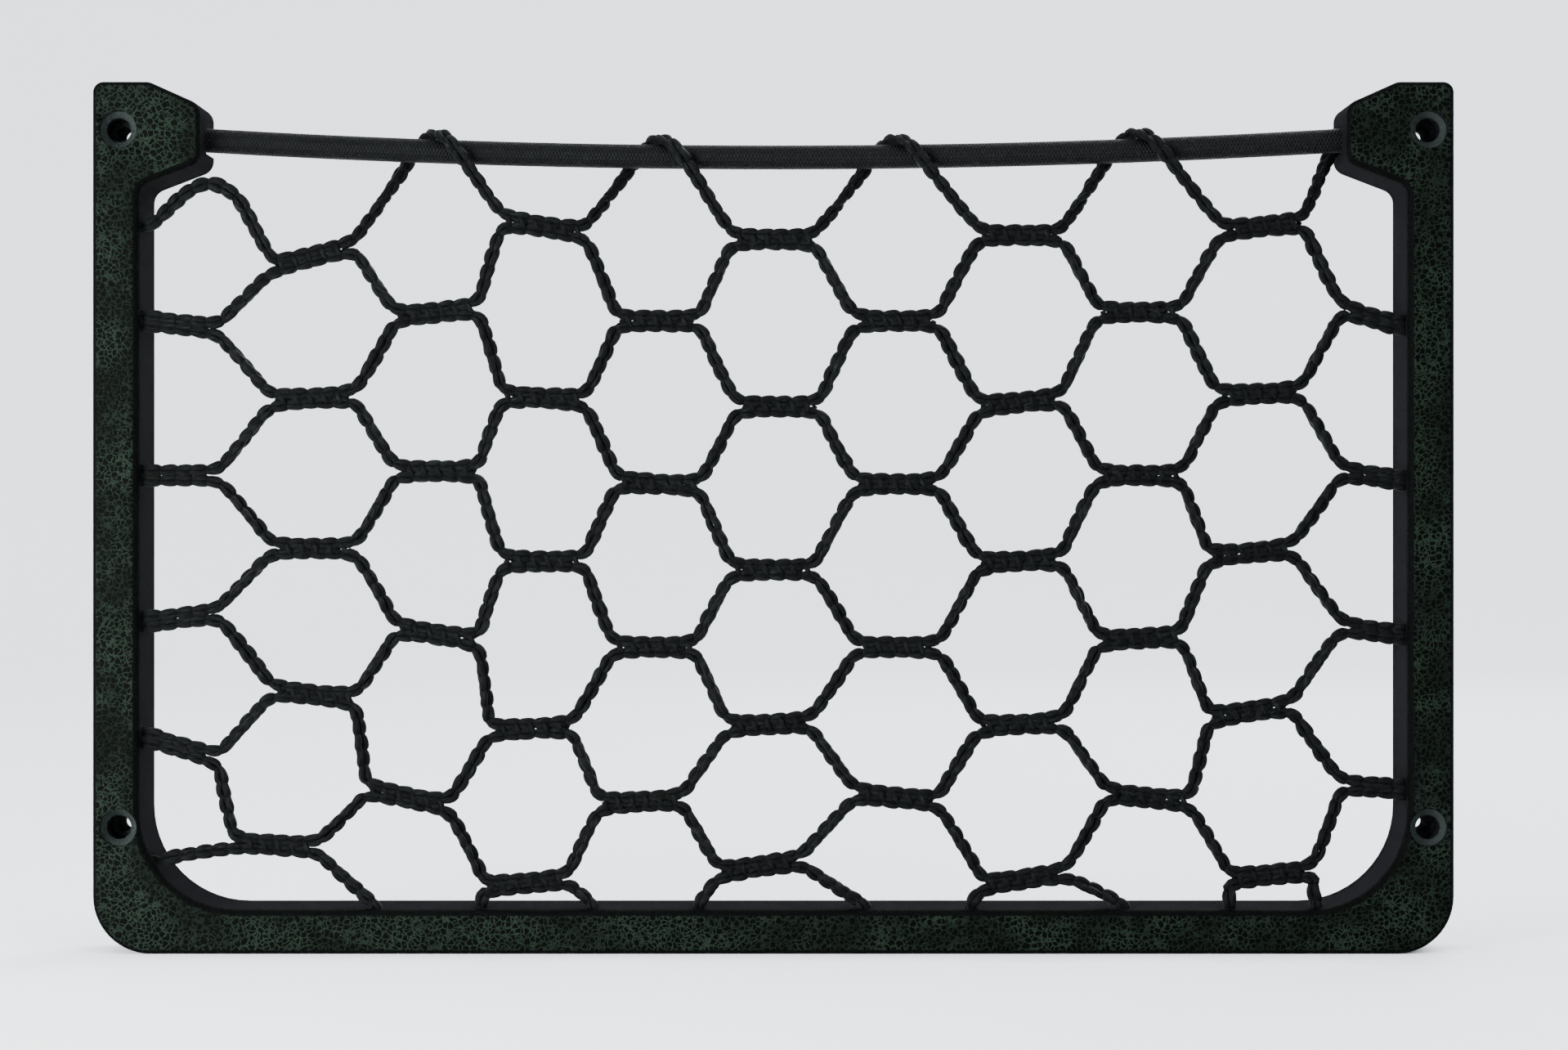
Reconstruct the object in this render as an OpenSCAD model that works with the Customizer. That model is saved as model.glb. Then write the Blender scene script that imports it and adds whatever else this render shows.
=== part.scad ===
/* [Frame] */
// Width of the frame across both side bars
frame_w = 320; // [280:5:420]
// Height of the frame from the bottom rail to the top of the noses
frame_h = 205; // [180:5:280]
// Depth of the frame from the wall to its front face
frame_d = 18; // [16:0.5:24]
// Width of each side bar
bar_w = 11; // [10.5:0.5:16]
// Height of the bottom rail
rail_h = 10.5; // [10:0.5:16]
// Radius of the two outer bottom corners
outer_r = 13.5; // [6:0.5:20]
// Radius of the two inner bottom corners
inner_r = 23; // [14:0.5:30]
// Radius of the two outer top corners
top_r = 2.5; // [2:0.1:6]
// Thickness of the side walls of the hollow moulding
wall = 1.8; // [1.4:0.1:2.2]
// Thickness of the front plate
front_wall = 2.2; // [1.8:0.1:3]

/* [Noses] */
// Length of each nose from the outer side of the frame
nose_len = 25.3; // [23:0.1:40]
// Length of the flat top of each nose
nose_flat = 13.2; // [11:0.1:16]
// Drop of the nose's sloping top at its end
nose_drop = 5.4; // [2:0.1:8]
// Height of the nose's end face before its corners are rounded
nose_end_h = 13.7; // [12:0.1:18]
// Drop of the nose's sloping underside back to the side bar
nose_under = 5.5; // [2:0.1:8]
// Radius of the nose's corners
nose_r = 3.5; // [2.5:0.1:4]

/* [Wall screws] */
// Distance of each screw hole from the outer side of the frame
screw_side = 6; // [5.5:0.1:8]
// Distance of the upper screw holes below the top
screw_top = 11.3; // [9:0.1:16]
// Distance of the lower screw holes above the bottom
screw_bottom = 29.7; // [24:0.1:50]
// Diameter of the screw holes
hole_d = 3.2; // [2.8:0.1:4.5]
// Diameter of the bore that takes the screw's head
head_d = 5.7; // [5.2:0.1:7]
// Depth of that bore below the front face
head_depth = 8; // [4:0.5:12]
// Diameter of the shallow ring round it
ring_d = 8.8; // [7.5:0.1:9.4]
// Depth of the ring below the front face
ring_depth = 1.8; // [0.5:0.1:3]

/* [Elastic cord] */
// Diameter of the elastic cord along the top
bungee_d = 5.7; // [4:0.1:6]
// Sag of the elastic cord at its middle
bungee_sag = 4; // [1:0.5:8]
// Outer diameter of the crimped ferrules on its ends
ferrule_d = 7.4; // [7:0.1:7.8]
// Length of the ferrules
ferrule_len = 6; // [4:0.5:8]

/* [Net] */
// Diameter of each knitted net cord
cord_d = 2.2; // [1.6:0.1:2.4]
// Clearance between cords that lie side by side
cord_gap = 0.1; // [0.05:0.05:0.4]
// Diameter of the pegs that hold the net's edge loops
peg_d = 2; // [1.6:0.1:2.4]

/* [Hidden] */
$fn = 48;

// Everything below is drawn as [across, up, out from the wall] and then stood up by upright().
// Clearances and small details that are the same everywhere.
slip = 0.3;          // between a cord that moves and what it meets at rest
lead = 2;            // straight stretch of a net cord where it enters the frame
cut_over = 1;        // how far a cutting solid runs past the face that it opens
rib_w = 1.2;         // thickness of the cross ribs in the hollow of the frame
rib_low = 4;         // how far ribs and pegs stop short of the wall
boss_d = 11.2;       // pillar round each screw hole
loop_d = 1.8;        // a net cord where it is stretched round a peg
sides = 8;           // sides of a net cord
tip_turn = 1;        // corner cut of a cord bent round a peg

// Places worked out from the driving sizes.
side_x = frame_w / 2;
open_x = side_x - bar_w;
screw_x = side_x - screw_side;
screw_high = frame_h - screw_top;
screw_mid = (screw_high + screw_bottom) / 2;
nose_x = side_x - nose_len;
nose_top = frame_h - nose_drop;
nose_low = nose_top - nose_end_h;
floor_out = frame_d - front_wall;
net_out = floor_out - cord_d / 2 - cord_gap;
bungee_out = frame_d / 2;
bungee_high = nose_low + nose_end_h / 2 - 0.6;
bungee_mid = bungee_high - bungee_sag;
channel_x = side_x - bar_w / 2;
channel_up = rail_h / 2;

// The net hangs as a six-sided lattice of columns 0 to 10 from left to right. Odd columns have
// five double bars, even columns four, half a row lower.
pitch_x = 2 * open_x / 10.6;
bar_len = 0.7 * pitch_x;
top_row = bungee_mid - 20;
pitch_up = (top_row - rail_h) / 4.1;
pair_gap = cord_d + cord_gap;
// How far each column and bar is pulled out of the even lattice by hand stretching, in mm.
pull_x = [0, 4, 4, 1, 1, 0, 1, 2, 2, 3, 3];
pull_up = [
    [-2, 2, 8, 12],
    [-4, 1, 4, 8, 11],
    [2, 3, 3, 3],
    [3, 1, 1, 0, 2],
    [0, 0, 0, 2],
    [0, -1, -1, 1, 6],
    [0, 0, 0, 3],
    [1, 0, 1, 1, 3],
    [2, 2, 2, 3],
    [3, 2, 3, 4, 4],
    [3, 3, 5, 6]
];
// How far each bar is slid along its row from its column, and the rise from its left end to its right.
slide = [
    [0, 0, 0, 0],
    [0, 0, 0, 0, -9],
    [1, 1, 1, -6],
    [1, 1, 1, -2, -3],
    [0, 0, -1, -4],
    [0, 1, 0, -1, -3],
    [0, 0, 0, 0],
    [0, 0, 0, 0, 1],
    [0, 0, 0, 2],
    [0, -1, -3, -3, 2],
    [0, 0, 0, 0]
];
tilt = [
    [0, 0, 0, 0],
    [5, 1, 0, -2, -1],
    [2, 0, -3, -4],
    [-3, -1, 0, 1, 2],
    [0, -1, 0, 1],
    [0, 0, 0, 1, 3],
    [0, 0, 0, -2],
    [0, 2, 1, 1, 3],
    [0, 0, 1, -2],
    [2, 1, 2, 3, 2],
    [0, 0, 0, 0]
];
// Rise of the edge bars from the net to the side walls, top bar first.
edge_rise_left = [2, 0, -2, 5];
edge_rise_right = [-4, -2, -2, -1];
// Shift of each pair of bottom slots from its column, and half the distance between the two.
rail_shift = [-1, -3, 5, 9];
rail_half = 12.5;
// Places of the three single cords that end at the frame.
top_left_up = top_row + 3;
corner_up = rail_h + 11.5;
last_rail_x = open_x - 21;

// Corners of the frame's outline, anticlockwise from the bottom left: across, up, radius.
function right_side() = [
    [side_x, 0, outer_r],
    [side_x, frame_h, top_r],
    [side_x - nose_flat, frame_h, nose_r],
    [nose_x, nose_top, nose_r],
    [nose_x, nose_low, nose_r],
    [open_x, nose_low - nose_under, nose_r],
    [open_x, rail_h, inner_r]
];
function flipped(corners) = [
    for (i = [len(corners) - 1 : -1 : 0]) [-corners[i][0], corners[i][1], corners[i][2]]
];
outline = concat(right_side(), flipped(right_side()));

function flat(p) = [p[0], p[1]];
function unit(v) = v / norm(v);
function left_of(v) = [-v[1], v[0]];
function at(list, i) = list[(i + len(list)) % len(list)];
function way(c, i) = unit(flat(at(c, i + 1)) - flat(at(c, i)));
function is_convex(c, i) = cross(way(c, i - 1), way(c, i)) > 0;
function turn_of(c, i) = acos(way(c, i - 1) * way(c, i));
function reach(c, i) = c[i][2] * tan(turn_of(c, i) / 2);
function arc_start(c, i) = flat(c[i]) - reach(c, i) * way(c, i - 1);
function arc_end(c, i) = flat(c[i]) + reach(c, i) * way(c, i);
function arc_centre(c, i) = arc_start(c, i) + (is_convex(c, i) ? 1 : -1) * c[i][2] * left_of(way(c, i - 1));
// The same corners moved inwards by d, with their radii following.
function inset(c, d) = [
    for (i = [0 : len(c) - 1])
        let (a = left_of(way(c, i - 1)), b = left_of(way(c, i)), p = flat(c[i]) + d * (a + b) / (1 + a * b))
        [p[0], p[1], c[i][2] + (is_convex(c, i) ? -d : d)]
];

module corner_piece(c, i) {
    intersection() {
        polygon([arc_start(c, i), flat(c[i]), arc_end(c, i)]);
        translate(arc_centre(c, i)) circle(c[i][2]);
    }
}

// A closed shape with true arcs at its corners.
module rounded_shape(c) {
    difference() {
        union() {
            polygon([for (i = [0 : len(c) - 1]) each [arc_start(c, i), arc_end(c, i)]]);
            for (i = [0 : len(c) - 1]) {
                if (is_convex(c, i)) corner_piece(c, i);
            }
        }
        for (i = [0 : len(c) - 1]) {
            if (!is_convex(c, i)) corner_piece(c, i);
        }
    }
}

// Net lattice.
function column_x(j) = (j - 5) * pitch_x + pull_x[j];
function at_bar(table, j, b) = table[j][j % 2 == 1 ? b : b - 1];
function bar_up(j, b) = top_row - pitch_up * (j % 2 == 1 ? b : b - 0.5) + at_bar(pull_up, j, b);
// Cord w runs through bar odd_bar in odd columns and even_bar in even ones, on this side of it.
function odd_bar(w) = floor(w / 2);
function even_bar(w) = floor((w + 1) / 2);
function cord_side(w, j) = ((w + j) % 2 == 1) ? pair_gap / 2 : -pair_gap / 2;
// The end of cord w on one side, -1 or 1, of its bar in column j. A sloping bar keeps its cords as far apart.
function bar_end(w, j, side) = let (
    b = j % 2 == 1 ? odd_bar(w) : even_bar(w),
    rise = at_bar(tilt, j, b),
    apart = norm([1, rise / bar_len])
) [
    column_x(j) + at_bar(slide, j, b) + side * bar_len / 2,
    bar_up(j, b) + side * rise / 2 + cord_side(w, j) * apart,
    net_out
];
function left_end(w, j) = bar_end(w, j, -1);
function right_end(w, j) = bar_end(w, j, 1);
function bungee_up(x) = bungee_mid + bungee_sag * pow(x / nose_x, 2);

// Heights at which the side bars of the net enter the side walls.
function wall_up_left(b) = bar_up(0, b) + edge_rise_left[b - 1];
function wall_up_right(b) = bar_up(10, b) + edge_rise_right[b - 1];
function rail_x(k) = column_x(2 * k + 2) + rail_shift[k];

// The top cord goes up behind the elastic cord, over it and down in front.
wrap_r = bungee_d / 2 + cord_d / 2 + 2 * slip;
wrap_lead = 7;         // how far it moves along the elastic cord from its top to either side
function wrap_point(x, a) = [
    x + wrap_lead * (90 - a) / 120,
    bungee_up(x) + wrap_r * sin(a),
    bungee_out + wrap_r * cos(a)
];
function wrap(x) = [for (a = [210 : -40 : -30]) wrap_point(x, a)];

function entry(side, up) = [
    [side * (open_x - slip), up, net_out],
    [side * (open_x - slip - lead), up, net_out]
];
function top_cord() = concat(
    entry(-1, top_left_up),
    [[15 - open_x, top_left_up + 11, net_out]],
    [for (j = [1 : 9]) each j % 2 == 1 ? [left_end(0, j), right_end(0, j)] : wrap(column_x(j))],
    [[nose_x - 1.7, bungee_high - 2, bungee_out - wrap_r]]
);
function middle_cord(w) = let (right = entry(1, wall_up_right(even_bar(w)) + cord_side(w, 10))) concat(
    entry(-1, wall_up_left(even_bar(w)) + cord_side(w, 0)),
    [right_end(w, 0)],
    [for (j = [1 : 9]) each [left_end(w, j), right_end(w, j)]],
    [left_end(w, 10), right[1], right[0]]
);
// The lowest cord is hooked into the rail between its bars, so it lies in five spans.
rail_clear = rail_h + 0.7;
corner_clear = 4.8;
function rail_entry(x) = [[x, rail_clear, net_out], [x, rail_clear + lead, net_out]];
function span_start(k) = k == 0
    ? [[corner_clear - open_x, corner_up, net_out]]
    : rail_entry(rail_x(k - 1) + rail_half);
function span_end(k) = let (e = rail_entry(k == 4 ? last_rail_x : rail_x(k) - rail_half)) [e[1], e[0]];
function bottom_span(k) = concat(
    span_start(k), [left_end(9, 2 * k + 1), right_end(9, 2 * k + 1)], span_end(k)
);

// Cuts each inner corner of a route back by d along both legs.
function toward(p, q, d) = p + unit(q - p) * min(d, norm(q - p) * 0.4);
function softened(route, d) = [
    for (i = [0 : len(route) - 1])
        each i == 0 || i == len(route) - 1
            ? [route[i]]
            : [toward(route[i], route[i - 1], d), toward(route[i], route[i + 1], d)]
];
function heading(route, i) = unit(
    route[min(i + 1, len(route) - 1)] - route[max(i - 1, 0)]
);
function carried(route, normal, i) = i == len(route) ? [] :
    let (t = heading(route, i), n = unit(normal - (normal * t) * t))
    concat([n], carried(route, n, i + 1));

// A round cord of diameter d, swept along a route as one closed solid.
module cord(route, d, n = sides) {
    normals = carried(route, [0, 0, 1], 0);
    rings = [
        for (i = [0 : len(route) - 1])
            let (u = normals[i], v = cross(heading(route, i), u))
            for (k = [0 : n - 1])
                route[i] + d / 2 * (u * cos(360 * k / n) + v * sin(360 * k / n))
    ];
    last = (len(route) - 1) * n;
    polyhedron(rings, concat(
        [[for (k = [0 : n - 1]) k]],
        [
            for (i = [0 : len(route) - 2], k = [0 : n - 1])
                let (a = i * n + k, b = i * n + (k + 1) % n)
                each [[a, a + n, b + n], [a, b + n, b]]
        ],
        [[for (k = [n - 1 : -1 : 0]) last + k]]
    ));
}

module upright() {
    translate([0, 0, -screw_mid]) rotate([90, 0, 0]) children();
}

// Frame.
module at_screws() {
    for (x = [-screw_x, screw_x], up = [screw_bottom, screw_high]) {
        translate([x, up]) children();
    }
}

left_pegs = concat([top_left_up], [for (b = [1 : 4]) wall_up_left(b)]);
right_pegs = [for (b = [1 : 4]) wall_up_right(b)];
corner_peg = [-channel_x + 2, corner_up - 2];
hem_up = wall + cord_d / 2 + 0.5;
hem_peg_step = cord_d / 2 + peg_d / 2 + 0.2;

module peg_shapes() {
    for (up = left_pegs) translate([-channel_x, up]) circle(d = peg_d);
    for (up = right_pegs) translate([channel_x, up]) circle(d = peg_d);
    translate(corner_peg) circle(d = peg_d);
    translate([last_rail_x, channel_up]) circle(d = peg_d);
    for (k = [0 : 3], side = [-1, 1]) {
        translate([rail_x(k) + side * (rail_half - hem_peg_step), hem_up + hem_peg_step]) circle(d = peg_d);
    }
}

module rib_shapes() {
    for (i = [0 : 3]) {
        up = (left_pegs[i] + left_pegs[i + 1]) / 2;
        translate([-side_x, up - rib_w / 2]) square([bar_w, rib_w]);
    }
    for (i = [0 : 2]) {
        up = (right_pegs[i] + right_pegs[i + 1]) / 2;
        translate([open_x, up - rib_w / 2]) square([bar_w, rib_w]);
    }
    translate([open_x, right_pegs[0] + pitch_up / 2 - rib_w / 2]) square([bar_w, rib_w]);
    for (j = [1 : 2 : 9]) {
        translate([column_x(j) - rib_w / 2, 0]) square([rib_w, rail_h]);
    }
}

module hollow_shape() {
    difference() {
        rounded_shape(inset(outline, wall));
        at_screws() circle(d = boss_d);
    }
}

// A window across a side wall, just behind the front plate, for cords width tall.
module side_slot(x, up, tall) {
    translate([x, up - tall / 2, floor_out - slot_deep]) cube([wall + 2 * cut_over, tall, slot_deep]);
}

slot_deep = cord_d + 2;

module net_slots() {
    one = cord_d + 4 * cord_gap;
    two = one + pair_gap;
    side_cut = -open_x - wall - cut_over;
    side_slot(side_cut, top_left_up, one);
    for (b = [1 : 4]) {
        side_slot(side_cut, wall_up_left(b), two);
        side_slot(open_x - cut_over, wall_up_right(b), two);
    }
    translate([-open_x - 1, corner_up - one / 2, floor_out - slot_deep]) cube([7, one, slot_deep]);
    for (x = concat([last_rail_x], [for (k = [0 : 3], side = [-1, 1]) rail_x(k) + side * rail_half])) {
        translate([x - one / 2, rail_h - wall - cut_over, floor_out - slot_deep])
            cube([one, wall + 2 * cut_over, slot_deep]);
    }
}

// The elastic cord is laid into each nose's end wall from behind.
bungee_slot_d = bungee_d + 0.7;

module bungee_slots() {
    for (x = [-nose_x - wall - 0.5, nose_x - cut_over]) {
        translate([x, bungee_high, bungee_out]) rotate([0, 90, 0])
            cylinder(d = bungee_slot_d, h = wall + 0.5 + cut_over);
        translate([x, bungee_high - bungee_slot_d / 2, -cut_over])
            cube([wall + 0.5 + cut_over, bungee_slot_d, bungee_out + cut_over]);
    }
}

module frame() {
    color([0.07, 0.08, 0.075]) upright() difference() {
        linear_extrude(frame_d) rounded_shape(outline);
        translate([0, 0, rib_low]) linear_extrude(floor_out - rib_low) difference() {
            hollow_shape();
            peg_shapes();
            rib_shapes();
        }
        translate([0, 0, -cut_over]) linear_extrude(rib_low + cut_over) hollow_shape();
        net_slots();
        bungee_slots();
        at_screws() {
            translate([0, 0, -cut_over]) cylinder(d = hole_d, h = frame_d + 2 * cut_over);
            translate([0, 0, frame_d - head_depth]) cylinder(d = head_d, h = head_depth + cut_over);
            translate([0, 0, frame_d - ring_depth]) cylinder(d = ring_d, h = ring_depth + cut_over);
        }
    }
}

// Elastic cord.
module bungee_cord() {
    steps = 16;
    half = nose_x - slip;
    route = [for (i = [0 : steps]) let (x = half * (2 * i / steps - 1)) [x, bungee_up(x), bungee_out]];
    color([0.03, 0.03, 0.035]) upright() cord(route, bungee_d, 12);
}

ferrule_x = nose_x + wall + slip;
bungee_tip = ferrule_x + ferrule_len + 2.5;

module bungee_end(side) {
    color([0.03, 0.03, 0.035]) upright() translate([side * nose_x, bungee_high, bungee_out])
        rotate([0, side * 90, 0]) cylinder(d = bungee_d, h = bungee_tip - nose_x);
}

module ferrule(side) {
    color([0.75, 0.76, 0.78]) upright() translate([side * ferrule_x, bungee_high, bungee_out])
        rotate([0, side * 90, 0]) difference() {
            cylinder(d = ferrule_d, h = ferrule_len);
            translate([0, 0, -cut_over]) cylinder(d = bungee_d + cord_gap, h = ferrule_len + 2 * cut_over);
        }
}

// Net: edge loops that stay on the pegs of the frame.
loop_r = peg_d / 2 + cord_gap + loop_d / 2;

module peg_loop(x, up) {
    translate([x, up, net_out]) rotate_extrude() translate([loop_r, 0]) circle(d = loop_d);
}

// Necks from a loop's ring to the wall face, one per net cord.
module side_necks(side, up, necks) {
    for (dy = necks) {
        translate([side * open_x, up + dy, net_out]) rotate([0, side * 90, 0])
            cylinder(d = cord_d, h = channel_x - open_x - sqrt(pow(loop_r, 2) - pow(dy, 2)));
    }
}

pair = [-pair_gap / 2, pair_gap / 2];

module net_loops_left() {
    color([0.03, 0.03, 0.035]) upright() {
        for (i = [0 : 4]) {
            peg_loop(-channel_x, left_pegs[i]);
            side_necks(-1, left_pegs[i], i == 0 ? [0] : pair);
        }
        peg_loop(corner_peg[0], corner_peg[1]);
        cord([
            [corner_peg[0] + 0.6, corner_peg[1] + loop_r, net_out],
            [corner_peg[0] + 3.5, corner_up, net_out],
            [corner_clear - slip - open_x, corner_up, net_out]
        ], cord_d);
    }
}

module net_loops_right() {
    low = bungee_high - (bungee_slot_d - cord_d) / 2 + slip;
    behind = bungee_out - (ferrule_d + cord_d + cord_gap) / 2 - slip;
    tail = [
        [nose_x - slip, low, bungee_out - wrap_r],
        [nose_x + 3, low + slip, behind],
        [nose_x + 6, low + slip, behind - 1]
    ];
    color([0.03, 0.03, 0.035]) upright() {
        for (up = right_pegs) {
            peg_loop(channel_x, up);
            side_necks(1, up, pair);
        }
        cord(tail, cord_d);
        translate(tail[2]) sphere(d = 1.6 * cord_d);
    }
}

module net_loops_bottom() {
    color([0.03, 0.03, 0.035]) upright() {
        for (k = [0 : 3]) {
            left = rail_x(k) - rail_half;
            right = rail_x(k) + rail_half;
            cord(softened([
                [left, rail_h, net_out],
                [left, hem_up, net_out],
                [right, hem_up, net_out],
                [right, rail_h, net_out]
            ], tip_turn), cord_d);
        }
        peg_loop(last_rail_x, channel_up);
        translate([last_rail_x, channel_up + loop_r, net_out]) rotate([-90, 0, 0])
            cylinder(d = cord_d, h = rail_h - channel_up - loop_r);
    }
}

// Net: the knitted cords from the left side to the right, the top one first.
bend_cut = 2.5;

module net_cord(w) {
    color([0.03, 0.03, 0.035]) upright() {
        if (w == 0) cord(softened(top_cord(), bend_cut / 2), cord_d);
        if (w > 0 && w < 9) cord(softened(middle_cord(w), bend_cut), cord_d);
        if (w == 9) {
            for (k = [0 : 4]) cord(softened(bottom_span(k), bend_cut / 2), cord_d);
        }
    }
}

frame();
bungee_cord();
bungee_end(-1);  // bungee_end_left
bungee_end(1);  // bungee_end_right
ferrule(-1);  // ferrule_left
ferrule(1);  // ferrule_right
net_loops_left();
net_loops_right();
net_loops_bottom();
net_cord(0);  // net_cord_01
net_cord(1);  // net_cord_02
net_cord(2);  // net_cord_03
net_cord(3);  // net_cord_04
net_cord(4);  // net_cord_05
net_cord(5);  // net_cord_06
net_cord(6);  // net_cord_07
net_cord(7);  // net_cord_08
net_cord(8);  // net_cord_09
net_cord(9);  // net_cord_10
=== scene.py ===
"""Looks of the framed elastic storage net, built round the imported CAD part."""

import math

import bpy
import numpy as np
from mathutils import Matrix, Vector


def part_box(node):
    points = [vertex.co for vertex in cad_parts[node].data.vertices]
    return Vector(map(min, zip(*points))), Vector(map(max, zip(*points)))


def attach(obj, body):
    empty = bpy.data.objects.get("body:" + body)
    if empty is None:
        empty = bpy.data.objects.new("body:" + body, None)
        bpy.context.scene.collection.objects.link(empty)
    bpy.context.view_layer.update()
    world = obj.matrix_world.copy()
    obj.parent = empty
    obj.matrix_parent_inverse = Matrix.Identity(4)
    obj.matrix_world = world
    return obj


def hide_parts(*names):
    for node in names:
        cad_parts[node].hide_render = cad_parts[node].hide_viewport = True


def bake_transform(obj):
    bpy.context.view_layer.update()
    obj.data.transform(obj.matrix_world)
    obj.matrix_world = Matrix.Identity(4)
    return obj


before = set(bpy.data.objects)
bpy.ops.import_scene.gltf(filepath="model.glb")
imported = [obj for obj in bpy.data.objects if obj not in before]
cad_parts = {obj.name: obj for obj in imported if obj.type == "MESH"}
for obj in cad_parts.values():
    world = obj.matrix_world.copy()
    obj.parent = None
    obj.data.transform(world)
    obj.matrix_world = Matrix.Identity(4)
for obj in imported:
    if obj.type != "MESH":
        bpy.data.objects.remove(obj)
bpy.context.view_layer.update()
MM = 0.001

# ---------------------------------------------------------------- sizes of the CAD part, in millimetres
# The part is drawn as across, up and out from the wall. The frame's box gives where that drawing lies.
frame_low, frame_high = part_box("frame")
frame_w = (frame_high.x - frame_low.x) / MM
frame_h = (frame_high.z - frame_low.z) / MM
frame_d = (frame_high.y - frame_low.y) / MM
bar_w = 11.0
rail_h = 10.5
outer_r = 13.5
inner_r = 23.0
top_r = 2.5
wall = 1.8
front_wall = 2.2
nose_len = 25.3            # from the frame's side to the nose's tip
nose_flat = 13.2           # level part of a nose's top
nose_drop = 5.4            # from there down to the top of its tip
nose_end_h = 13.7
nose_under = 5.5           # slope below the tip
nose_r = 3.5
bungee_d = 5.7
bungee_sag = 4.0
bungee_drop = 0.6          # its ends lie this far below the middle of the tips
cord_d = 2.2
cord_gap = 0.1
lead = 2.3                 # straight stretch of a cord where it leaves a side bar

side_x = frame_w / 2
open_x = side_x - bar_w
nose_x = side_x - nose_len
nose_top = frame_h - nose_drop
nose_low = nose_top - nose_end_h
net_out = frame_d - front_wall - cord_d / 2 - cord_gap
bungee_out = frame_d / 2
bungee_high = nose_low + nose_end_h / 2 - bungee_drop
bungee_mid = bungee_high - bungee_sag
bungee_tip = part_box("bungee_end_right")[1].x / MM
channel_x = side_x - bar_w / 2
channel_up = rail_h / 2


def placed(points):
    """Drawn points, an array of across, up and out in millimetres, in metres in the row frame."""
    p = np.asarray(points, float) * MM
    return np.stack([p[..., 0], -p[..., 2], p[..., 1] + frame_low.z], axis=-1)


# ---------------------------------------------------------------- net lattice, as in the CAD part
# Column j of the net's double bars runs from 0 at the left to 10, and bar b counts from the top.
# Net cord w, from 0 at the top, is a bar's upper cord in every other column, and its lower one between.
CORDS = 10
LAST_CORD = CORDS - 1
LAST_COLUMN = 10
COLUMNS_ACROSS = 10.6
ROWS_DOWN = 4.1
BELOW_BUNGEE = 20
BAR_SHARE = 0.7            # of a column's width
pitch_x = 2 * open_x / COLUMNS_ACROSS
bar_len = BAR_SHARE * pitch_x
top_row = bungee_mid - BELOW_BUNGEE
pitch_up = (top_row - rail_h) / ROWS_DOWN
pair_gap = cord_d + cord_gap
# What the photographed net adds to an even lattice: how far each column is pulled to the right, how far
# each bar is pulled up and slides to the right, and how far its right end lies above its left.
pull_x = [0, 4, 4, 1, 1, 0, 1, 2, 2, 3, 3]
pull_up = [
    [-2, 2, 8, 12],
    [-4, 1, 4, 8, 11],
    [2, 3, 3, 3],
    [3, 1, 1, 0, 2],
    [0, 0, 0, 2],
    [0, -1, -1, 1, 6],
    [0, 0, 0, 3],
    [1, 0, 1, 1, 3],
    [2, 2, 2, 3],
    [3, 2, 3, 4, 4],
    [3, 3, 5, 6],
]
slide = [
    [0, 0, 0, 0],
    [0, 0, 0, 0, -9],
    [1, 1, 1, -6],
    [1, 1, 1, -2, -3],
    [0, 0, -1, -4],
    [0, 1, 0, -1, -3],
    [0, 0, 0, 0],
    [0, 0, 0, 0, 1],
    [0, 0, 0, 2],
    [0, -1, -3, -3, 2],
    [0, 0, 0, 0],
]
tilt = [
    [0, 0, 0, 0],
    [5, 1, 0, -2, -1],
    [2, 0, -3, -4],
    [-3, -1, 0, 1, 2],
    [0, -1, 0, 1],
    [0, 0, 0, 1, 3],
    [0, 0, 0, -2],
    [0, 2, 1, 1, 3],
    [0, 0, 1, -2],
    [2, 1, 2, 3, 2],
    [0, 0, 0, 0],
]
# The same for the windows in the side bars, and for the net's pairs of windows in the bottom rail.
edge_rise = {-1: [2, 0, -2, 5], 1: [-4, -2, -2, -1]}
rail_shift = [-1, -3, 5, 9]
rail_half = 12.5           # half distance between a pair's windows
top_left_up = top_row + 3  # window of the highest cord
corner_up = rail_h + 11.5  # window of the lowest cord, in the rounded lower left corner
corner_clear = 4.8
last_rail_x = open_x - 21  # the lowest cord's last window in the rail
hem_up = wall + cord_d / 2 + 0.5


def column_x(j):
    return (j - 5) * pitch_x + pull_x[j]


def at_bar(table, j, b):
    """A table's value for bar b of column j. Even columns have no bar 0."""
    return table[j][b if j % 2 else b - 1]


def bar_up(j, b):
    return top_row - pitch_up * (b if j % 2 else b - 0.5) + at_bar(pull_up, j, b)


def cord_side(w, j):
    """How far cord w lies above the middle of its bar in column j."""
    return pair_gap / 2 if (w + j) % 2 else -pair_gap / 2


def bar_end(w, j, side):
    """Where cord w meets the left (side -1) or right (1) end of its bar in column j."""
    b = w // 2 if j % 2 else (w + 1) // 2
    rise = at_bar(tilt, j, b)
    apart = math.hypot(1, rise / bar_len)
    return (column_x(j) + at_bar(slide, j, b) + side * bar_len / 2,
            bar_up(j, b) + side * rise / 2 + cord_side(w, j) * apart, net_out)


def wall_up(side, b):
    """Height of window b in the left (side -1) or right (1) bar of the frame."""
    return bar_up(0 if side < 0 else LAST_COLUMN, b) + edge_rise[side][b - 1]


def rail_x(k):
    return column_x(2 * k + 2) + rail_shift[k]


def bungee_up(x):
    return bungee_mid + bungee_sag * min(1, abs(x) / nose_x) ** 2


# ---------------------------------------------------------------- meshes from rings
TINY = 1e-9
STEEP = 0.9                # a path is steep where more than this share of its way is forward


def unit(v):
    return v / np.maximum(np.linalg.norm(v, axis=-1, keepdims=True), TINY)


def carried(tangents, first):
    """A normal carried along a path without twist."""
    normals = np.empty_like(tangents)
    n = np.asarray(first, float)
    for i, t in enumerate(tangents):
        n = n - n.dot(t) * t
        n /= max(np.linalg.norm(n), TINY)
        normals[i] = n
    return normals


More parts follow.
